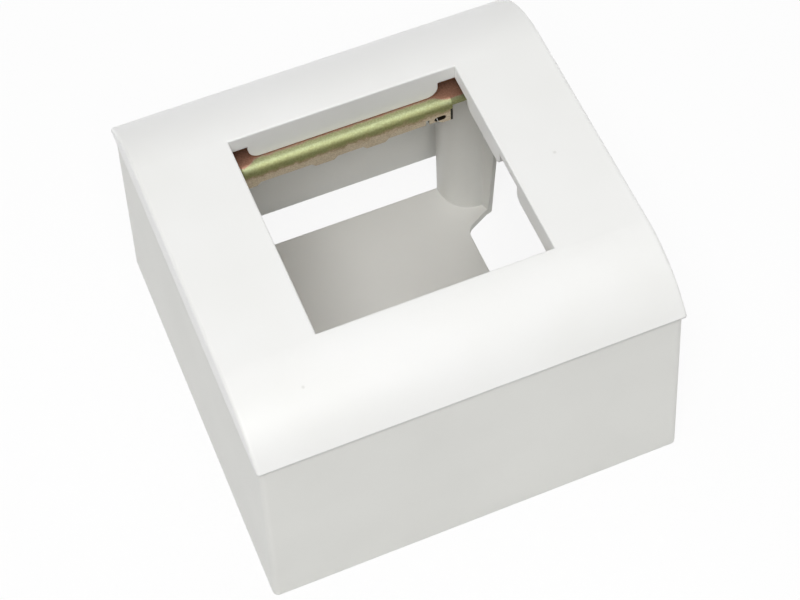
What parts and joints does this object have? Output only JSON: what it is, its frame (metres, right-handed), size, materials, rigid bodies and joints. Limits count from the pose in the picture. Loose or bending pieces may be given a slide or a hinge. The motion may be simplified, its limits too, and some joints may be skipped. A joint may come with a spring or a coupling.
{
  "type": "surface mounting box",
  "caption": "White moulded surface mounting box with an arched cover frame, a square module aperture and a pressed steel support frame.",
  "frame": {"origin": "centre of the box's footprint, on the plane of its underside", "axes": "+Z out of the wall through the module aperture, +X along the front wall, +Y to the back wall"},
  "size_m": [0.083, 0.083, 0.052],
  "materials": {
    "box_plastic": "white moulded plastic, satin",
    "cover_plastic": "white moulded plastic, near gloss",
    "passivated_steel": "sheet steel, zinc plated and yellow passivated",
    "screw_steel": "zinc plated steel"
  },
  "bodies": {
    "root": {"back_box": "box_plastic", "cover_frame": "cover_plastic", "support_frame": "passivated_steel", "frame_screw_1": "screw_steel", "frame_screw_2": "screw_steel", "frame_screw_3": "screw_steel", "frame_screw_4": "screw_steel"}
  },
  "joints": []
}
